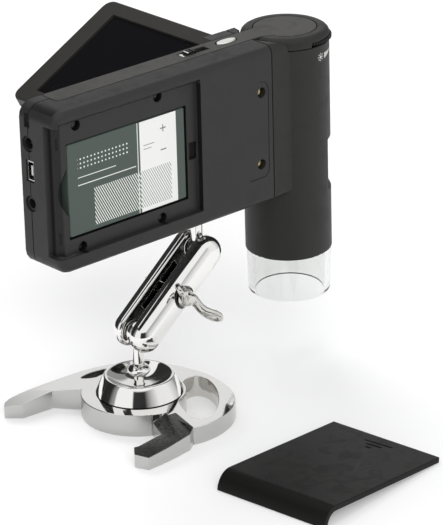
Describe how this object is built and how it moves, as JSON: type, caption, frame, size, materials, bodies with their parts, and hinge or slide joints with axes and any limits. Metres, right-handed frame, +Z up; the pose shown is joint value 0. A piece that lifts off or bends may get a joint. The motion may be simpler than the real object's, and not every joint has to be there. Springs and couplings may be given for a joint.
{
  "type": "digital microscope",
  "caption": "Handheld digital microscope with a swing-out screen on a two-ball tabletop stand, its battery cover lifted off and lying beside it.",
  "frame": {"origin": "centre of the stand base's underside, under the lower ball stud", "axes": "+Z up, +X along the handset from its port end towards the optical barrel, -Y the battery side"},
  "size_m": [0.1338, 0.2145, 0.1284],
  "materials": {
    "stand_chrome": "polished",
    "case_black": "fine satin texture",
    "inlay_grey": "satin",
    "cover_black": "satin",
    "button_silver": "satin",
    "brass_parts": "plain",
    "circuit_green": "solder mask",
    "battery_label": "printed label over a can",
    "screen_gloss": "gloss",
    "nose_clear": "clear",
    "lens_glass": "coated"
  },
  "bodies": {
    "base": {"base_plate": "stand_chrome", "base_cone": "stand_chrome"},
    "lower_stud": {"lower_ball_stud": "stand_chrome"},
    "arm": {"arm_plate_near": "stand_chrome", "arm_plate_far": "stand_chrome", "clamp_nut": "stand_chrome", "clamp_washer": "stand_chrome"},
    "wing_screw": {"wing_screw": "stand_chrome"},
    "head_stud": {"upper_ball_stud": "stand_chrome"},
    "handset": {"rear_case": "case_black", "front_case": "case_black", "top_cover": "inlay_grey", "barrel_housing": "case_black", "barrel_crown": "case_black", "nose_tube": "nose_clear", "led_ring_board": "circuit_green", "image_sensor_board": "circuit_green", "main_circuit_board": "circuit_green", "battery_contacts": "brass_parts", "bay_screw_1": "button_silver", "bay_screw_2": "button_silver", "bay_screw_3": "button_silver", "bay_screw_4": "button_silver", "side_screw_1": "brass_parts", "side_screw_2": "brass_parts", "dc_jack": "case_black", "usb_socket": "button_silver", "av_jack": "case_black", "power_switch_body": "case_black", "snap_switch": "case_black", "tripod_bush": "brass_parts", "hinge_pin": "button_silver"},
    "focus_ring": {"focus_ring": "case_black"},
    "lens_carriage": {"lens_barrel": "case_black", "objective_lens": "lens_glass"},
    "brightness_wheel": {"brightness_wheel": "case_black"},
    "power_switch": {"power_switch_knob": "stand_chrome"},
    "snap_button": {"snap_button": "button_silver"},
    "menu_button_1": {"menu_button_1": "inlay_grey"},
    "menu_button_2": {"menu_button_2": "inlay_grey"},
    "menu_button_3": {"menu_button_3": "inlay_grey"},
    "menu_button_4": {"menu_button_4": "inlay_grey"},
    "battery": {"battery": "battery_label"},
    "screen_knuckle": {"screen_knuckle": "case_black"},
    "screen_panel": {"screen_frame": "case_black", "screen_back": "case_black", "screen_glass": "screen_gloss", "lcd_module": "button_silver", "screen_screw_1": "button_silver", "screen_screw_2": "button_silver", "screen_screw_3": "button_silver", "screen_screw_4": "button_silver"},
    "battery_cover": {"battery_cover": "cover_black"}
  },
  "joints": [
    {"name": "stand_swivel", "type": "hinge", "parent": "base", "child": "lower_stud", "pos_m": [0, 0, 0], "axis": [0, 0, 1], "range_deg": [-180, 180]},
    {"name": "arm_tilt", "type": "hinge", "parent": "lower_stud", "child": "arm", "pos_m": [0, 0, 0.0313], "axis": [0, 1, 0], "range_deg": [-35, 8]},
    {"name": "wing_screw_turn", "type": "hinge", "parent": "arm", "child": "wing_screw", "pos_m": [0.01461, 0, 0.04313], "axis": [0, 1, 0], "range_deg": [-180, 180]},
    {"name": "head_tilt", "type": "hinge", "parent": "arm", "child": "head_stud", "pos_m": [0.02922, 0, 0.05496], "axis": [0, 1, 0], "range_deg": [-20, 10]},
    {"name": "head_swivel", "type": "hinge", "parent": "head_stud", "child": "handset", "pos_m": [0.02922, 0, 0.05496], "axis": [0, 0, 1], "range_deg": [-75, 75]},
    {"name": "focus_turn", "type": "hinge", "parent": "handset", "child": "focus_ring", "pos_m": [0.07532, 0.00139, 0.0428], "axis": [0, 0, 1], "range_deg": [0, 120]},
    {"name": "focus_travel", "type": "slide", "parent": "handset", "child": "lens_carriage", "axis": [0, 0, 1], "range_m": [0, 0.006]},
    {"name": "brightness_turn", "type": "hinge", "parent": "handset", "child": "brightness_wheel", "pos_m": [0.07824, -0.00115, 0.1236], "axis": [0, 0, 1], "range_deg": [-130, 130]},
    {"name": "power_slide", "type": "slide", "parent": "handset", "child": "power_switch", "axis": [1, 0, 0], "range_m": [0, 0.005]},
    {"name": "snap_press", "type": "slide", "parent": "handset", "child": "snap_button", "axis": [0, 0, -1], "range_m": [0, 0.0008], "stiffness_N_per_m": 400, "springref_m": -0.001},
    {"name": "menu_press_1", "type": "slide", "parent": "handset", "child": "menu_button_1", "axis": [0, -1, 0], "range_m": [0, 0.0006], "stiffness_N_per_m": 400, "springref_m": -0.001},
    {"name": "menu_press_2", "type": "slide", "parent": "handset", "child": "menu_button_2", "axis": [0, -1, 0], "range_m": [0, 0.0006], "stiffness_N_per_m": 400, "springref_m": -0.001},
    {"name": "menu_press_3", "type": "slide", "parent": "handset", "child": "menu_button_3", "axis": [0, -1, 0], "range_m": [0, 0.0006], "stiffness_N_per_m": 400, "springref_m": -0.001},
    {"name": "menu_press_4", "type": "slide", "parent": "handset", "child": "menu_button_4", "axis": [0, -1, 0], "range_m": [0, 0.0006], "stiffness_N_per_m": 400, "springref_m": -0.001},
    {"name": "battery_slide", "type": "slide", "parent": "handset", "child": "battery", "axis": [0, -1, 0], "range_m": [0, 0.012]},
    {"name": "screen_swing", "type": "hinge", "parent": "handset", "child": "screen_knuckle", "pos_m": [0.05222, 0.0113, 0.0994], "axis": [0, 0, 1], "range_deg": [0, 18]},
    {"name": "screen_flip", "type": "hinge", "parent": "screen_knuckle", "child": "screen_panel", "pos_m": [0.05222, 0.0113, 0.0994], "axis": [0, 1, 0], "range_deg": [-152, 118]},
    {"name": "cover_lift", "type": "slide", "parent": "base", "child": "battery_cover", "axis": [0, 0, 1], "range_m": [0, 0.03]}
  ],
  "couplings": [
    {"joint": "focus_travel", "follows": "focus_turn", "m_per_rad": 0.002864}
  ]
}
